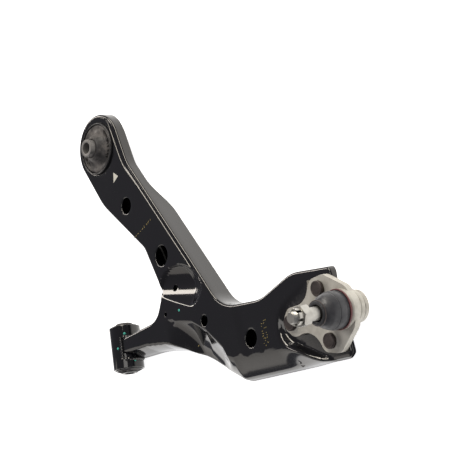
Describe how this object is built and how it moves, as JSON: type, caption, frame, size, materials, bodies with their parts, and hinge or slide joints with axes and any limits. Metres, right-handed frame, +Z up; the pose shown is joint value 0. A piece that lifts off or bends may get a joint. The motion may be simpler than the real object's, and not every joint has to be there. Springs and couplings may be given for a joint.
{
  "type": "suspension control arm",
  "caption": "Lower control arm of welded pressed steel with an upright rear bush, a lengthwise front bush and a bolted-on ball joint.",
  "frame": {"origin": "centre of the bounding box on the floor, the part lying flat on its underside", "axes": "+Z up along the rear bush and the pressed face's normal, +Y rearward along the front bush, +X outboard towards the ball joint"},
  "size_m": [0.4891, 0.4001, 0.1146],
  "materials": {
    "upper_shell": "gloss black electrocoat",
    "lower_shell": "gloss black electrocoat",
    "rear_bush_collar": "gloss black electrocoat",
    "rear_bush_outer_can": "satin black steel",
    "rear_bush_rubber": "matt moulded rubber",
    "rear_bush_inner_sleeve": "zinc-plated steel",
    "front_bush_housing": "gloss black electrocoat",
    "front_bush_outer_can": "satin black steel",
    "front_bush_rubber": "matt moulded rubber",
    "front_bush_inner_sleeve": "zinc-plated steel",
    "ball_joint_housing": "forged and machined steel, bare",
    "ball_seat": "moulded bearing plastic",
    "housing_cover_plate": "pressed steel, rolled in",
    "ball_stud": "machined steel",
    "castle_nut": "zinc-plated steel",
    "boot_base_ring": "dark red coated spring ring",
    "dust_boot": "smooth black rubber",
    "boot_top_ring": "dark wire ring",
    "flange_bolt_1": "dark phosphated steel",
    "flange_nut_1": "blue zinc-plated steel",
    "flange_bolt_2": "dark phosphated steel",
    "flange_nut_2": "blue zinc-plated steel",
    "flange_bolt_3": "dark phosphated steel",
    "flange_nut_3": "blue zinc-plated steel"
  },
  "bodies": {
    "arm": {"upper_shell": "upper_shell", "lower_shell": "lower_shell", "rear_bush_collar": "rear_bush_collar", "rear_bush_outer_can": "rear_bush_outer_can", "rear_bush_rubber": "rear_bush_rubber", "front_bush_housing": "front_bush_housing", "front_bush_outer_can": "front_bush_outer_can", "front_bush_rubber": "front_bush_rubber", "ball_joint_housing": "ball_joint_housing", "ball_seat": "ball_seat", "housing_cover_plate": "housing_cover_plate", "boot_base_ring": "boot_base_ring", "flange_bolt_1": "flange_bolt_1", "flange_nut_1": "flange_nut_1", "flange_bolt_2": "flange_bolt_2", "flange_nut_2": "flange_nut_2", "flange_bolt_3": "flange_bolt_3", "flange_nut_3": "flange_nut_3"},
    "rear_sleeve": {"rear_bush_inner_sleeve": "rear_bush_inner_sleeve"},
    "front_sleeve": {"front_bush_inner_sleeve": "front_bush_inner_sleeve"},
    "boot": {"dust_boot": "dust_boot"},
    "boot_neck": {"boot_top_ring": "boot_top_ring"},
    "stud": {"ball_stud": "ball_stud", "castle_nut": "castle_nut"}
  },
  "joints": [
    {"name": "rear_bush_rock", "type": "hinge", "parent": "arm", "child": "rear_sleeve", "pos_m": [-0.2014, 0.1551, 0.0275], "axis": [0, 1, 0], "range_deg": [-10, 10], "stiffness_Nm_per_rad": 12, "deforming": ["rear_bush_rubber"]},
    {"name": "front_bush_twist", "type": "hinge", "parent": "arm", "child": "front_sleeve", "pos_m": [-0.2114, -0.1019, 0.022], "axis": [0, 1, 0], "range_deg": [-20, 20], "stiffness_Nm_per_rad": 12, "deforming": ["front_bush_rubber"]},
    {"name": "stud_swing", "type": "hinge", "parent": "arm", "child": "boot", "pos_m": [0.2216, -0.1489, 0.039], "axis": [1, 0, 0], "range_deg": [-20, 20], "deforming": ["dust_boot"]},
    {"name": "stud_lean", "type": "hinge", "parent": "boot", "child": "boot_neck", "pos_m": [0.2216, -0.1489, 0.039], "axis": [0, 1, 0], "range_deg": [-18, 18], "deforming": ["dust_boot"]},
    {"name": "stud_spin", "type": "hinge", "parent": "boot_neck", "child": "stud", "pos_m": [0.2216, -0.1489, 0.039], "axis": [0, -0.1478, 0.989], "continuous": true}
  ]
}
